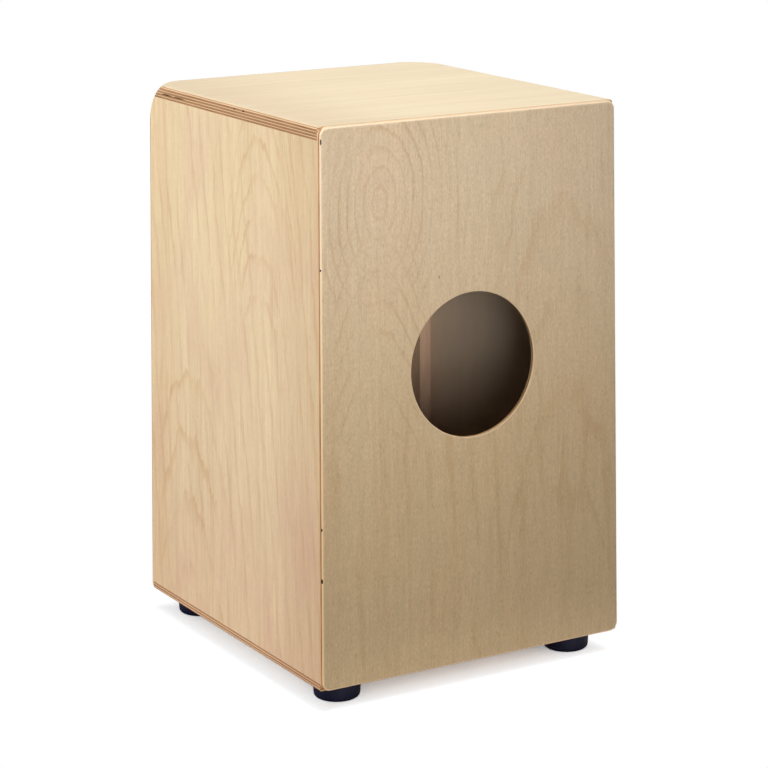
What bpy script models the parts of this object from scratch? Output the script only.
"""Cajon: a plywood box drum with a sound hole in its rear panel.

Frame: metres, +Z up, origin on the floor under the middle of the drum.
The playing face (tapa) looks towards -Y, the rear panel towards +Y.
Left and right are as seen by someone standing in front of the playing face,
so left is -X and right is +X.
"""
import math
from collections import namedtuple

import bmesh
import bpy
from mathutils import Matrix, Vector

SIDES = {"left": -1, "right": 1}

# ----------------------------------------------------------------- dimensions
WIDTH = 0.300            # over the side panels
DEPTH = 0.325            # playing face to rear panel
HEIGHT = 0.488           # floor to seat
FOOT_HEIGHT = 0.018
GAP = 0.0003             # clearance between neighbouring pieces

# Panel thicknesses
SEAT_T = 0.0115
SIDE_T = 0.012
BASE_T = 0.006
REAR_T = 0.0045
TAPA_T = 0.003

# Edge rounds
TOP_FRONT_R = 0.0025     # along the middle of the top front edge
CORNER_R = 0.036         # the same edge where it meets the side faces
CORNER_L = 0.028         # length over which the one grows into the other
BOTTOM_FRONT_R = 0.005
SEAT_EDGE_R = 0.0032
REAR_EDGE_R = 0.003
REAR_PANEL_R = 0.008     # corners of the rear panel's outline
TAPA_EDGE_R = 0.0012

# Sound hole
HOLE_R = 0.062
HOLE_Z = 0.2725
HOLE_EDGE_R = 0.001

# Battens
BATTEN_W = 0.0122        # front corner battens, across
BATTEN_D = 0.0260        # front corner battens, front to back
TOP_BATTEN_H = 0.0462
TOP_BATTEN_D = 0.024
LOW_BATTEN_H = 0.020
LOW_BATTEN_D = 0.0185

# Planes shared by several pieces
Z_BODY = FOOT_HEIGHT
Z_FLOOR_TOP = Z_BODY + BASE_T
Z_SEAT_LOW = HEIGHT - SEAT_T
Y_FRONT = -DEPTH / 2
Y_TAPA_IN = Y_FRONT + TAPA_T
Y_REAR = DEPTH / 2
Y_REAR_IN = Y_REAR - REAR_T
X_OUT = WIDTH / 2
X_IN = X_OUT - SIDE_T

# Limits of the pieces fitted between those planes, one clearance away
Y_FIT_FRONT = Y_TAPA_IN + GAP
Y_FIT_REAR = Y_REAR_IN - GAP
Z_FIT_LOW = Z_FLOOR_TOP + GAP
Z_FIT_TOP = Z_SEAT_LOW - GAP
X_FIT = X_IN - GAP
X_BATTEN = X_FIT - BATTEN_W   # inner face of the corner battens

# Feet and the blocks above them
FOOT_R = 0.021
FOOT_R_LOW = 0.0200
FOOT_RIM_R = 0.0028      # round at the foot's lower rim
FOOT_X = X_IN - FOOT_R
FOOT_Y = 0.128
FOOT_RECESS_R = 0.0085
FOOT_RECESS_D = 0.0085
FOOT_BORE_R = 0.0026
FOOT_WASHER_R = 0.0074
FOOT_WASHER_T = 0.0012
BLOCK_W = 0.042
BLOCK_D = 0.040
BLOCK_H = 0.018

# Countersunk screws through the tapa
TAPA_SCREW_X = X_OUT - SIDE_T / 2
TAPA_SCREW_PITCH = 0.132
TAPA_SCREW_Z = [0.0450 + i * TAPA_SCREW_PITCH for i in range(3)]
CORNER_SCREW_Z = 0.4415
TAPA_SCREW_INNER_X = 0.050
TAPA_SCREW_LOW_Z = 0.0330
TAPA_SCREW_SINK = 0.0001
TAPA_SCREW_SEGMENTS = 12
SCREW_HEAD_R = 0.0032
SCREW_HEAD_H = 0.0021
SCREW_HEAD_RIM = 0.0003  # straight rim above the cone of the head
SCREW_SHANK_R = 0.0015
SCREW_L = 0.0180

# Pan-head screws
PanScrew = namedtuple("PanScrew", "head_r head_h shank_r length segments")
FOOT_SCREW = PanScrew(head_r=0.0045, head_h=0.0030, shank_r=0.0021, length=0.0300, segments=12)
BRACKET_SCREW = PanScrew(head_r=0.0027, head_h=0.0014, shank_r=0.0013, length=0.0110, segments=10)
FAN_SCREW = PanScrew(head_r=0.0024, head_h=0.0012, shank_r=0.0011, length=0.0090, segments=10)
LEVER_SCREW = PanScrew(head_r=0.0026, head_h=0.0013, shank_r=0.0012, length=0.0095, segments=10)
PILOT_START = 0.0005     # pilot holes start this far beyond the head's underside

# Snare bar and its pivots
PIVOT_Y = -0.1470        # axis of the snare bar
PIVOT_Z = 0.3900
BAR_HALF_L = 0.118
BAR_SIDE = 0.014
BAR_BEVEL = 0.0010
PIN_R = 0.0025
PIN_CHAMFER = 0.0006
PIN_DEPTH = 0.010        # length of pin inside the bar
PIN_END_ROOM = 0.0005
FELT_R = 0.0062
FELT_PLAY = 0.0005       # round the pin
BRACKET_X = X_BATTEN - GAP
BRACKET_T = 0.002
BRACKET_FRONT = 0.0075   # from the axis
BRACKET_BACK = 0.0070
BRACKET_HALF_H = 0.026
BRACKET_BEVEL = 0.0003
BRACKET_SCREW_DZ = 0.018

# Snare fans
FAN_X = 0.056
FAN_W = 0.066
FAN_H = 0.012
FAN_T = 0.0011
FAN_DROP = 0.0005        # fan centre below the axis
FAN_SCREW_DX = 0.0225
WIRES_PER_FAN = 10
WIRE_PITCH = 0.0064
WIRE_SPREAD = 1.04       # pitch at the tips over pitch at the plate
WIRE_R = 0.0009
WIRE_SIDES = 6
WIRE_INSET_Y = 0.0006    # wire tops, forward from the plate's back face
WIRE_INSET_Z = 0.0015    # wire tops, above half a fan height below the axis
WIRE_TIP_Z = 0.248
WIRE_TAPA_GAP = 0.0004

# Lever
LEVER_T = 0.002
LEVER_L = 0.050
LEVER_HALF_W = 0.012
LEVER_HALF_H = 0.0068
LEVER_CORNER = 0.001     # reach of the fill in the inner corner
LEVER_CORNER_MID = 0.0003
LEVER_SCREW_X = 0.0065
BAR_SCREW_RISE = 0.0012  # fan and lever screws above the axis

# Base colour, roughness and metallic share of each material family
FAMILIES = {
    "birch_top": dict(colour=(0.80, 0.67, 0.44), roughness=0.42, metallic=0.0),
    "birch_side": dict(colour=(0.72, 0.56, 0.34), roughness=0.45, metallic=0.0),
    "birch_rear": dict(colour=(0.58, 0.44, 0.29), roughness=0.48, metallic=0.0),
    "birch_tapa": dict(colour=(0.72, 0.54, 0.33), roughness=0.40, metallic=0.0),
    "batten": dict(colour=(0.46, 0.31, 0.20), roughness=0.70, metallic=0.0),
    "rubber": dict(colour=(0.012, 0.012, 0.016), roughness=0.62, metallic=0.0),
    "zinc": dict(colour=(0.58, 0.58, 0.56), roughness=0.35, metallic=1.0),
    "black_steel": dict(colour=(0.05, 0.05, 0.05), roughness=0.40, metallic=1.0),
    "snare_steel": dict(colour=(0.62, 0.62, 0.60), roughness=0.28, metallic=1.0),
    "aluminium": dict(colour=(0.60, 0.60, 0.61), roughness=0.40, metallic=1.0),
    "felt": dict(colour=(0.10, 0.10, 0.11), roughness=0.95, metallic=0.0),
}


def make_material(name, colour, roughness, metallic):
    material = bpy.data.materials.new(name)
    material.use_nodes = True
    shader = material.node_tree.nodes["Principled BSDF"]
    shader.inputs["Base Color"].default_value = (*colour, 1.0)
    shader.inputs["Roughness"].default_value = roughness
    shader.inputs["Metallic"].default_value = metallic
    material.diffuse_color = (*colour, 1.0)
    return material


# ----------------------------------------------------------------- mesh tools
def finish(name, solid, family, location=(0, 0, 0)):
    """Turn a bmesh into an object with a material of its own. A piece
    without a family is a hidden helper for the modifiers."""
    bmesh.ops.remove_doubles(solid, verts=solid.verts, dist=1e-7)
    bmesh.ops.recalc_face_normals(solid, faces=solid.faces)
    mesh = bpy.data.meshes.new(name)
    solid.to_mesh(mesh)
    solid.free()
    mesh.shade_smooth()
    mesh.set_sharp_from_angle(angle=math.radians(32))
    obj = bpy.data.objects.new(name, mesh)
    obj.location = location
    bpy.context.scene.collection.objects.link(obj)
    if family is None:
        obj.hide_render = True
        obj.display_type = "WIRE"
    else:
        mesh.materials.append(make_material(name + "_mat", **FAMILIES[family]))
    return obj


def bridge(solid, ring, next_ring):
    count = len(ring)
    for i in range(count):
        j = (i + 1) % count
        solid.faces.new((ring[i], ring[j], next_ring[j], next_ring[i]))


def cap(solid, first_ring, last_ring):
    solid.faces.new(list(reversed(first_ring)))
    solid.faces.new(last_ring)


def loft(solid, loops):
    """Closed solid through a list of equal-length point loops."""
    rings = [[solid.verts.new(point) for point in loop] for loop in loops]
    for ring, next_ring in zip(rings, rings[1:]):
        bridge(solid, ring, next_ring)
    cap(solid, rings[0], rings[-1])


def box_solid(x_span, y_span, z_span):
    solid = bmesh.new()
    corners = [(x_span[0], y_span[0]), (x_span[1], y_span[0]),
               (x_span[1], y_span[1]), (x_span[0], y_span[1])]
    loft(solid, [[(x, y, z) for x, y in corners] for z in z_span])
    return solid


def box(name, x_span, y_span, z_span, family, bevel=0.0):
    """Box with its origin at its centre."""
    spans = (x_span, y_span, z_span)
    centre = [(low + high) / 2 for low, high in spans]
    halves = [(high - low) / 2 for low, high in spans]
    obj = finish(name, box_solid(*[(-half, half) for half in halves]), family, centre)
    if bevel:
        modifier = obj.modifiers.new("edge", "BEVEL")
        modifier.width = bevel
        modifier.segments = 1
        modifier.limit_method = "ANGLE"
    return obj


def side_span(side, inner, outer):
    """Range in x between two distances from the middle, on one side."""
    return sorted((side * inner, side * outer))


def prism(name, outline, axis, low, high, family):
    """Outline of 2-D points pushed along one axis. The outline's coordinates
    are the two other axes in x, y, z order."""
    place = {"x": lambda u, v, w: (w, u, v),
             "y": lambda u, v, w: (u, w, v),
             "z": lambda u, v, w: (u, v, w)}[axis]
    solid = bmesh.new()
    loft(solid, [[place(u, v, w) for u, v in outline] for w in (low, high)])
    return finish(name, solid, family)


def lathe_solid(profile, segments):
    """Turned solid about Z. profile is a list of (radius, z). A profile that
    starts and ends on the axis closes with caps; any other profile is taken
    as a closed ring section."""
    solid = bmesh.new()
    on_axis = profile[0][0] == 0 and profile[-1][0] == 0
    body = profile[1:-1] if on_axis else profile
    angles = [2 * math.pi * i / segments for i in range(segments)]
    rings = [[solid.verts.new((radius * math.cos(angle), radius * math.sin(angle), z))
              for angle in angles] for radius, z in body]
    for ring, next_ring in zip(rings, rings[1:]):
        bridge(solid, ring, next_ring)
    if on_axis:
        cap(solid, rings[0], rings[-1])
    else:
        bridge(solid, rings[-1], rings[0])
    return solid


# Rotations that take a profile's +z to the named direction
TURN = {
    "+z": Matrix.Identity(4),
    "+y": Matrix.Rotation(-math.pi / 2, 4, "X"),
    "-y": Matrix.Rotation(math.pi / 2, 4, "X"),
    "+x": Matrix.Rotation(math.pi / 2, 4, "Y"),
    "-x": Matrix.Rotation(-math.pi / 2, 4, "Y"),
}


def lathe(name, profile, segments, towards, location, family):
    """Turned piece whose profile's +z points along `towards`."""
    solid = lathe_solid(profile, segments)
    bmesh.ops.transform(solid, matrix=TURN[towards], verts=solid.verts)
    return finish(name, solid, family, location)


def add_boolean(obj, name, operation, tool):
    modifier = obj.modifiers.new(name, "BOOLEAN")
    modifier.operation = operation
    modifier.solver = "EXACT"
    modifier.object = tool


def cut(obj, *tools):
    for tool in tools:
        add_boolean(obj, "cut_" + tool.name, "DIFFERENCE", tool)


# A turned tool, one of those merged into a group cutter
Tool = namedtuple("Tool", "profile segments towards location")


def group_cutter(name, tools):
    """One cutter made of several separate turned tools."""
    whole = bmesh.new()
    for tool in tools:
        solid = lathe_solid(tool.profile, tool.segments)
        bmesh.ops.recalc_face_normals(solid, faces=solid.faces)
        bmesh.ops.transform(solid, verts=solid.verts,
                            matrix=Matrix.Translation(tool.location) @ TURN[tool.towards])
        part = bpy.data.meshes.new("part")
        solid.to_mesh(part)
        solid.free()
        whole.from_mesh(part)
        bpy.data.meshes.remove(part)
    return finish(name, whole, None)


# ------------------------------------------------------- profiles and outlines
def quarter_round(steps):
    """Unit quarter round: (1 - cos, 1 - sin) at even angles, from (0, 1) to (1, 0)."""
    angles = [math.radians(90 * i / steps) for i in range(steps + 1)]
    return [(1 - math.cos(angle), 1 - math.sin(angle)) for angle in angles]


def with_mirror(half_outline):
    """Outline closed by the mirror image of its right half."""
    return half_outline + [(-x, other) for x, other in reversed(half_outline)]


def bore(radius, low, high):
    return [(0, low), (radius, low), (radius, high), (0, high)]


def ring_section(inner_r, outer_r, low, high):
    return [(inner_r, low), (outer_r, low), (outer_r, high), (inner_r, high)]


def pan_screw(name, screw, towards, location):
    """Pan-head screw, underside of the head at z = 0, point towards +z."""
    radius, height = screw.head_r, screw.head_h
    profile = [(0, -height), (radius * 0.62, -height), (radius * 0.92, -height * 0.72),
               (radius, -height * 0.30), (radius, 0), (screw.shank_r, 0),
               (screw.shank_r, screw.length - 0.004), (0.0005, screw.length),
               (0, screw.length)]
    lathe(name, profile, screw.segments, towards, location, "zinc")


def shank_tool(screw, towards, location, start=PILOT_START, end=None):
    """Hole for a pan-head screw's shank, by default to just past its point."""
    if end is None:
        end = screw.length + GAP
    return Tool(bore(screw.shank_r + GAP, start, end), screw.segments, towards, location)


# ------------------------------------------------------------ rounding cutters
ROUND_LIFT = 0.0002      # cutter's ends stand this far off the faces
ROUND_LEAD = 0.003       # cutter runs on this far past the round
ROUND_REACH = 0.012      # cutter's extent outside the drum

# x of the sections of the top cutter, mirrored about the middle
TOP_ROUND_STATIONS = [0.1185, 0.1225, 0.1270, 0.1315, 0.1360, 0.1405, 0.1445, 0.1485, 0.1525]


def top_front_radius(x):
    """The top front edge is nearly square in the middle and grows into a
    wide round at the two upper corners."""
    ramp = max(0.0, (abs(x) - (X_OUT - CORNER_L)) / CORNER_L)
    return TOP_FRONT_R + (CORNER_R - TOP_FRONT_R) * ramp * ramp


def round_section(z_edge, radius, upward, steps):
    """(y, z) outline of everything outside a quarter round on a front edge.
    upward is +1 for the top edge and -1 for the bottom edge."""
    y_back = Y_FRONT + radius + ROUND_LEAD
    z_end = z_edge - upward * (radius + ROUND_LEAD)
    z_outside = z_edge + upward * ROUND_REACH
    arc = [(Y_FRONT + radius * back, z_edge - upward * radius * away)
           for away, back in quarter_round(steps)[1:-1]]
    return [(y_back, z_edge + upward * ROUND_LIFT), *arc,
            (Y_FRONT - ROUND_LIFT, z_end), (Y_FRONT - ROUND_REACH, z_end),
            (Y_FRONT - ROUND_REACH, z_outside), (y_back, z_outside)]


def build_top_round():
    mirrored = [-x for x in reversed(TOP_ROUND_STATIONS)]
    solid = bmesh.new()
    loft(solid, [[(x, y, z) for y, z in round_section(HEIGHT, top_front_radius(x), 1, 10)]
                 for x in mirrored + TOP_ROUND_STATIONS])
    bmesh.ops.triangulate(solid, faces=solid.faces[:])
    return finish("cut_top_round", solid, None)


def build_low_round():
    overhang = 0.02
    return prism("cut_low_round", round_section(Z_BODY, BOTTOM_FRONT_R, -1, 5), "x",
                 -X_OUT - overhang, X_OUT + overhang, None)


# --------------------------------------------------------------------- panels
def build_seat(top_round):
    """Lies over the side panels; its left and right top edges are rounded."""
    half_outline = [(X_OUT, Z_SEAT_LOW)]
    half_outline += [(X_OUT - SEAT_EDGE_R * inward, HEIGHT - SEAT_EDGE_R * down)
                     for inward, down in quarter_round(3)]
    seat = prism("seat_panel", with_mirror(half_outline), "y",
                 Y_FIT_FRONT, Y_FIT_REAR, "birch_top")
    cut(seat, top_round)


def build_base(low_round):
    base = box("base_panel", (-X_OUT, X_OUT), (Y_FIT_FRONT, Y_FIT_REAR),
               (Z_BODY, Z_FLOOR_TOP), "birch_side")
    cut(base, low_round)
    return base


def build_side_panel(tag, side, top_round):
    panel = box("side_panel_" + tag, side_span(side, X_IN, X_OUT),
                (Y_FIT_FRONT, Y_FIT_REAR), (Z_FIT_LOW, Z_FIT_TOP), "birch_side")
    cut(panel, top_round)
    return panel


def rear_outline(inset, steps=6):
    """(x, z) outline of the rear panel with rounded corners, drawn in by inset."""
    radius = REAR_PANEL_R - inset
    right = X_OUT - inset - radius
    low = Z_BODY + inset + radius
    high = HEIGHT - inset - radius
    points = []
    for centre_x, centre_z, start in ((right, low, -90), (right, high, 0),
                                      (-right, high, 90), (-right, low, 180)):
        for i in range(steps + 1):
            angle = math.radians(start + 90 * i / steps)
            points.append((centre_x + radius * math.cos(angle),
                           centre_z + radius * math.sin(angle)))
    return points


def build_rear():
    """Covers the whole back; its outer edge and the hole's are rounded."""
    layers = [(0.0, Y_REAR_IN)]
    layers += [(REAR_EDGE_R * inward, Y_REAR - REAR_EDGE_R * forward)
               for inward, forward in quarter_round(4)]
    solid = bmesh.new()
    loft(solid, [[(x, y, z) for x, z in rear_outline(inset)] for inset, y in layers])
    rear = finish("rear_panel", solid, "birch_rear")

    inside, outside, flare = 0.02, 0.004, 0.0004   # cutter's excess past the panel
    profile = [(0, -inside), (HOLE_R, -inside)]
    profile += [(HOLE_R + HOLE_EDGE_R * outward, REAR_T - HOLE_EDGE_R * forward)
                for outward, forward in quarter_round(3)]
    profile += [(HOLE_R + HOLE_EDGE_R + flare, REAR_T + outside), (0, REAR_T + outside)]
    cut(rear, lathe("cut_sound_hole", profile, 72, "+y", (0, Y_REAR_IN, HOLE_Z), None))


def build_tapa(top_round, low_round):
    """Thin front panel, its outer upright edges eased."""
    half_outline = [(X_OUT, Y_TAPA_IN)]
    half_outline += [(X_OUT - TAPA_EDGE_R * inward, Y_FRONT + TAPA_EDGE_R * back)
                     for inward, back in quarter_round(3)]
    tapa = prism("tapa", with_mirror(half_outline), "z", Z_BODY, HEIGHT, "birch_tapa")
    cut(tapa, top_round, low_round)
    return tapa


# -------------------------------------------------------------------- battens
def build_cross_batten(name, depth, z_low, z_high):
    return box(name, (-X_FIT, X_FIT), (Y_FIT_FRONT, Y_FIT_FRONT + depth),
               (z_low, z_high), "batten")


def build_corner_batten(tag, side):
    """Upright batten between the two cross battens."""
    return box("front_batten_" + tag, side_span(side, X_BATTEN, X_FIT),
               (Y_FIT_FRONT, Y_FIT_FRONT + BATTEN_D),
               (Z_FIT_LOW + LOW_BATTEN_H + GAP, Z_FIT_TOP - TOP_BATTEN_H - GAP), "batten")


# ----------------------------------------------------------------------- feet
def foot_profile():
    """Rubber foot: bored through, with a recess below for screw and washer."""
    recess_chamfer = 0.0006
    profile = [(FOOT_BORE_R, FOOT_HEIGHT - GAP), (FOOT_BORE_R, FOOT_RECESS_D),
               (FOOT_RECESS_R, FOOT_RECESS_D), (FOOT_RECESS_R, recess_chamfer),
               (FOOT_RECESS_R + recess_chamfer, 0.0)]
    profile += [(FOOT_R_LOW - FOOT_RIM_R * inward, FOOT_RIM_R * rise)
                for rise, inward in quarter_round(3)]
    profile += [(FOOT_R, FOOT_HEIGHT - 0.0024), (FOOT_R, FOOT_HEIGHT - 0.0010),
                (FOOT_R - 0.0007, FOOT_HEIGHT - GAP)]
    return profile


def build_foot(tag, side, y_side):
    """Foot, washer, screw and the block inside the drum that takes the screw."""
    x = side * FOOT_X
    y = y_side * FOOT_Y
    z_washer = FOOT_RECESS_D - GAP
    z_head = z_washer - FOOT_WASHER_T - GAP
    lathe("foot_" + tag, foot_profile(), 32, "+z", (x, y, 0), "rubber")
    lathe("foot_washer_" + tag,
          ring_section(FOOT_BORE_R, FOOT_WASHER_R, z_washer - FOOT_WASHER_T, z_washer),
          16, "+z", (x, y, 0), "zinc")
    pan_screw("foot_screw_" + tag, FOOT_SCREW, "+z", (x, y, z_head))

    y_low = Y_FIT_FRONT + LOW_BATTEN_D + GAP if y_side < 0 else Y_FIT_REAR - BLOCK_D
    block = box("foot_block_" + tag, side_span(side, X_FIT - BLOCK_W, X_FIT),
                (y_low, y_low + BLOCK_D), (Z_FIT_LOW, Z_FIT_LOW + BLOCK_H), "batten")
    pilot = shank_tool(FOOT_SCREW, "+z", (x, y, 0), start=-0.001,
                       end=z_head + FOOT_SCREW.length + GAP)
    cut(block, group_cutter("cut_foot_pilot_" + tag, [pilot]))


def build_feet(base):
    overrun = 0.003
    base_bore = bore(FOOT_BORE_R, Z_BODY - overrun, Z_FLOOR_TOP + overrun)
    base_tools = []
    for row, y_side in (("front", -1), ("rear", 1)):
        for tag, side in SIDES.items():
            build_foot(row + "_" + tag, side, y_side)
            base_tools.append(Tool(base_bore, 16, "+z", (side * FOOT_X, y_side * FOOT_Y, 0)))
    cut(base, group_cutter("cut_base_bores", base_tools))


# ---------------------------------------------------------------- tapa screws
def tapa_screw(name, x, z):
    """Countersunk screw pointing +Y. Returns the tool for its pocket, which
    is open in front of the head."""
    location = (x, Y_FRONT + TAPA_SCREW_SINK, z)
    profile = [(0, 0), (SCREW_HEAD_R, 0), (SCREW_HEAD_R, SCREW_HEAD_RIM),
               (SCREW_SHANK_R, SCREW_HEAD_H), (SCREW_SHANK_R, SCREW_L - 0.003),
               (0.0004, SCREW_L), (0, SCREW_L)]
    lathe(name, profile, TAPA_SCREW_SEGMENTS, "+y", location, "black_steel")
    mouth = -0.004
    pocket = [(0, mouth), (SCREW_HEAD_R + GAP, mouth),
              (SCREW_HEAD_R + GAP, SCREW_HEAD_RIM + GAP),
              (SCREW_SHANK_R + GAP, SCREW_HEAD_H + GAP * 1.4),
              (SCREW_SHANK_R + GAP, SCREW_L + GAP), (0, SCREW_L + GAP)]
    return Tool(pocket, TAPA_SCREW_SEGMENTS, "+y", location)


def build_tapa_screws(tapa, side_panels, top_batten, low_batten):
    tapa_tools, top_tools, low_tools = [], [], []
    for tag, side in SIDES.items():
        edge_x = side * TAPA_SCREW_X
        inner_x = side * TAPA_SCREW_INNER_X
        edge = [tapa_screw(f"tapa_screw_{tag}_{place}", edge_x, z)
                for place, z in zip(("low", "mid", "high"), TAPA_SCREW_Z)]
        top = tapa_screw("tapa_screw_top_" + tag, inner_x, CORNER_SCREW_Z)
        low = tapa_screw("tapa_screw_bottom_" + tag, inner_x, TAPA_SCREW_LOW_Z)
        corner = tapa_screw("corner_screw_" + tag, edge_x, CORNER_SCREW_Z)
        tapa_tools += [*edge, top, low, corner]
        top_tools.append(top)
        low_tools.append(low)
        cut(side_panels[tag], group_cutter("cut_side_pilots_" + tag, [*edge, corner]))
    cut(tapa, group_cutter("cut_tapa_holes", tapa_tools))
    cut(top_batten, group_cutter("cut_top_pilots", top_tools))
    cut(low_batten, group_cutter("cut_bottom_pilots", low_tools))


# ------------------------------------------------------------ snare mechanism
# The build functions below return the tools that their pieces need in the bar.
def build_pivot(tag, side, corner_batten):
    """Bracket plate on the corner batten, pin into the bar's end, felt washer."""
    outward, inward = ("+x", "-x") if side > 0 else ("-x", "+x")
    bracket = box("pivot_bracket_" + tag, side_span(side, BRACKET_X - BRACKET_T, BRACKET_X),
                  (PIVOT_Y - BRACKET_FRONT, PIVOT_Y + BRACKET_BACK),
                  (PIVOT_Z - BRACKET_HALF_H, PIVOT_Z + BRACKET_HALF_H),
                  "zinc", bevel=BRACKET_BEVEL)

    pin_x = BRACKET_X - 0.0001   # just inside the plate's outer face
    pin_l = pin_x - (BAR_HALF_L - PIN_DEPTH)
    lathe("pivot_pin_" + tag,
          [(0, 0), (PIN_R, 0), (PIN_R, pin_l - PIN_CHAMFER), (PIN_R - PIN_CHAMFER, pin_l),
           (0, pin_l)], 16, inward, (side * pin_x, PIVOT_Y, PIVOT_Z), "zinc")

    x_face = BRACKET_X - BRACKET_T - GAP
    felt_t = x_face - (BAR_HALF_L + GAP)
    lathe("felt_washer_" + tag, ring_section(PIN_R + FELT_PLAY, FELT_R, 0, felt_t),
          16, inward, (side * x_face, PIVOT_Y, PIVOT_Z), "felt")

    plate_tools = [Tool(bore(PIN_R + GAP, -0.01, 0.01), 16, outward,
                        (side * BRACKET_X, PIVOT_Y, PIVOT_Z))]
    batten_tools = []
    for place, rise in (("low", -BRACKET_SCREW_DZ), ("high", BRACKET_SCREW_DZ)):
        spot = (side * x_face, PIVOT_Y, PIVOT_Z + rise)
        pan_screw(f"bracket_screw_{tag}_{place}", BRACKET_SCREW, outward, spot)
        plate_tools.append(shank_tool(BRACKET_SCREW, outward, spot, start=-0.004, end=0.006))
        batten_tools.append(shank_tool(BRACKET_SCREW, outward, spot))
    cut(bracket, group_cutter("cut_bracket_" + tag, plate_tools))
    cut(corner_batten, group_cutter("cut_batten_pilots_" + tag, batten_tools))
    return [Tool(bore(PIN_R + GAP, -0.002, PIN_DEPTH + PIN_END_ROOM), 16, inward,
                 (side * BAR_HALF_L, PIVOT_Y, PIVOT_Z))]


def build_wires(tag, fan_x, y_plate):
    """Straight six-sided wires from the fan plate down to just behind the tapa."""
    wires = bmesh.new()
    for i in range(WIRES_PER_FAN):
        offset = (i - (WIRES_PER_FAN - 1) / 2) * WIRE_PITCH
        top = Vector((fan_x + offset, y_plate - WIRE_INSET_Y,
                      PIVOT_Z - FAN_H / 2 + WIRE_INSET_Z))
        tip = Vector((fan_x + offset * WIRE_SPREAD, Y_TAPA_IN + WIRE_R + WIRE_TAPA_GAP,
                      WIRE_TIP_Z))
        line = tip - top
        placing = Matrix.Translation(top) @ line.to_track_quat("Z", "Y").to_matrix().to_4x4()
        angles = [2 * math.pi / WIRE_SIDES * k for k in range(WIRE_SIDES)]
        loft(wires, [[placing @ Vector((WIRE_R * math.cos(angle), WIRE_R * math.sin(angle), along))
                      for angle in angles] for along in (0.0, line.length)])
    return finish("add_wires_" + tag, wires, None)


def build_fan(tag, side):
    """Plate on the front of the bar with its wires joined on."""
    fan_x = side * FAN_X
    y_plate = PIVOT_Y - BAR_SIDE / 2 - GAP
    z_centre = PIVOT_Z - FAN_DROP
    fan = finish("snare_fan_" + tag,
                 box_solid((fan_x - FAN_W / 2, fan_x + FAN_W / 2), (y_plate - FAN_T, y_plate),
                           (z_centre - FAN_H / 2, z_centre + FAN_H / 2)), "snare_steel")
    add_boolean(fan, "wires", "UNION", build_wires(tag, fan_x, y_plate))
    fan_tools, bar_tools = [], []
    for place, outward in (("inner", -1), ("outer", 1)):
        spot = (fan_x + side * outward * FAN_SCREW_DX, y_plate - FAN_T - GAP,
                PIVOT_Z + BAR_SCREW_RISE)
        pan_screw(f"fan_screw_{tag}_{place}", FAN_SCREW, "+y", spot)
        fan_tools.append(shank_tool(FAN_SCREW, "+y", spot, start=-0.003))
        bar_tools.append(shank_tool(FAN_SCREW, "+y", spot))
    cut(fan, group_cutter("cut_fan_" + tag, fan_tools))
    return bar_tools


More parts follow.
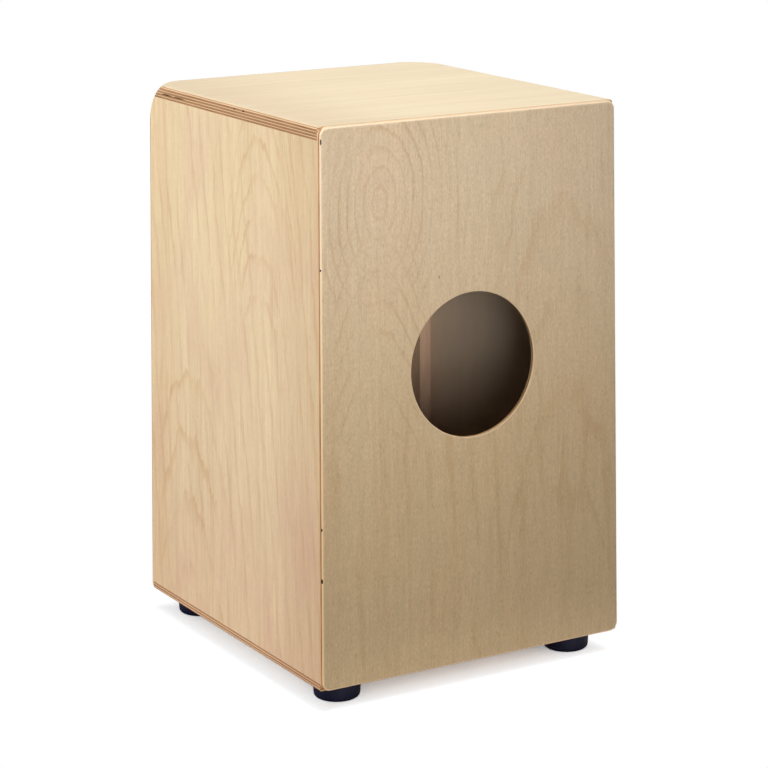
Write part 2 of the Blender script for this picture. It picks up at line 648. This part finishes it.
def build_lever():
    """Angle plate on the back of the bar: an upright leg and a shelf that
    runs backwards to a rounded tip."""
    y_back = PIVOT_Y + BAR_SIDE / 2 + GAP
    y_face = y_back + LEVER_T
    y_tip = y_back + LEVER_L
    z_low = PIVOT_Z - LEVER_HALF_H
    z_shelf = z_low + LEVER_T
    z_high = PIVOT_Z + LEVER_HALF_H
    tip_r = LEVER_T / 2
    tip_angles = [math.radians(-90 + 180 * i / 6) for i in range(1, 6)]
    outline = [(y_back, z_low), (y_tip, z_low)]
    outline += [(y_tip + tip_r * math.cos(angle), z_low + tip_r + tip_r * math.sin(angle))
                for angle in tip_angles]
    outline += [(y_tip, z_shelf), (y_face + LEVER_CORNER, z_shelf),
                (y_face + LEVER_CORNER_MID, z_shelf + LEVER_CORNER_MID),
                (y_face, z_shelf + LEVER_CORNER), (y_face, z_high), (y_back, z_high)]
    lever = prism("snare_lever", outline, "x", -LEVER_HALF_W, LEVER_HALF_W, "aluminium")
    lever_tools, bar_tools = [], []
    for tag, side in SIDES.items():
        spot = (side * LEVER_SCREW_X, y_face + GAP, PIVOT_Z + BAR_SCREW_RISE)
        pan_screw("lever_screw_" + tag, LEVER_SCREW, "-y", spot)
        lever_tools.append(shank_tool(LEVER_SCREW, "-y", spot, start=-0.003))
        bar_tools.append(shank_tool(LEVER_SCREW, "-y", spot))
    cut(lever, group_cutter("cut_lever", lever_tools))
    return bar_tools


def build_snare(corner_battens):
    half = BAR_SIDE / 2
    bar = box("snare_bar", (-BAR_HALF_L, BAR_HALF_L), (PIVOT_Y - half, PIVOT_Y + half),
              (PIVOT_Z - half, PIVOT_Z + half), "batten", bevel=BAR_BEVEL)
    bar_tools = []
    for tag, side in SIDES.items():
        bar_tools += build_pivot(tag, side, corner_battens[tag])
        bar_tools += build_fan(tag, side)
    bar_tools += build_lever()
    cut(bar, group_cutter("cut_bar", bar_tools))


# Names of the pieces and helpers that swing with the bar start with these.
MOVING = ("snare_bar", "snare_fan", "fan_screw", "snare_lever", "lever_screw",
          "cut_bar", "cut_fan_", "add_wires_", "cut_lever")


def hang_snare():
    """Parent the moving snare pieces to one empty on the bar's axis."""
    axis = bpy.data.objects.new("snare_bar_axis", None)
    axis.location = (0, PIVOT_Y, PIVOT_Z)
    bpy.context.scene.collection.objects.link(axis)
    bpy.context.view_layer.update()
    for obj in list(bpy.data.objects):
        if obj.name.startswith(MOVING) and obj is not axis:
            obj.parent = axis
            obj.matrix_parent_inverse = axis.matrix_world.inverted()
    bpy.context.view_layer.update()


def build_cajon():
    top_round = build_top_round()
    low_round = build_low_round()
    build_seat(top_round)
    base = build_base(low_round)
    side_panels = {tag: build_side_panel(tag, side, top_round) for tag, side in SIDES.items()}
    build_rear()
    tapa = build_tapa(top_round, low_round)
    top_batten = build_cross_batten("top_front_batten", TOP_BATTEN_D,
                                    Z_FIT_TOP - TOP_BATTEN_H, Z_FIT_TOP)
    low_batten = build_cross_batten("bottom_front_batten", LOW_BATTEN_D,
                                    Z_FIT_LOW, Z_FIT_LOW + LOW_BATTEN_H)
    corner_battens = {tag: build_corner_batten(tag, side) for tag, side in SIDES.items()}
    build_feet(base)
    build_tapa_screws(tapa, side_panels, top_batten, low_batten)
    build_snare(corner_battens)
    hang_snare()


for old in list(bpy.data.objects):
    bpy.data.objects.remove(old, do_unlink=True)
build_cajon()
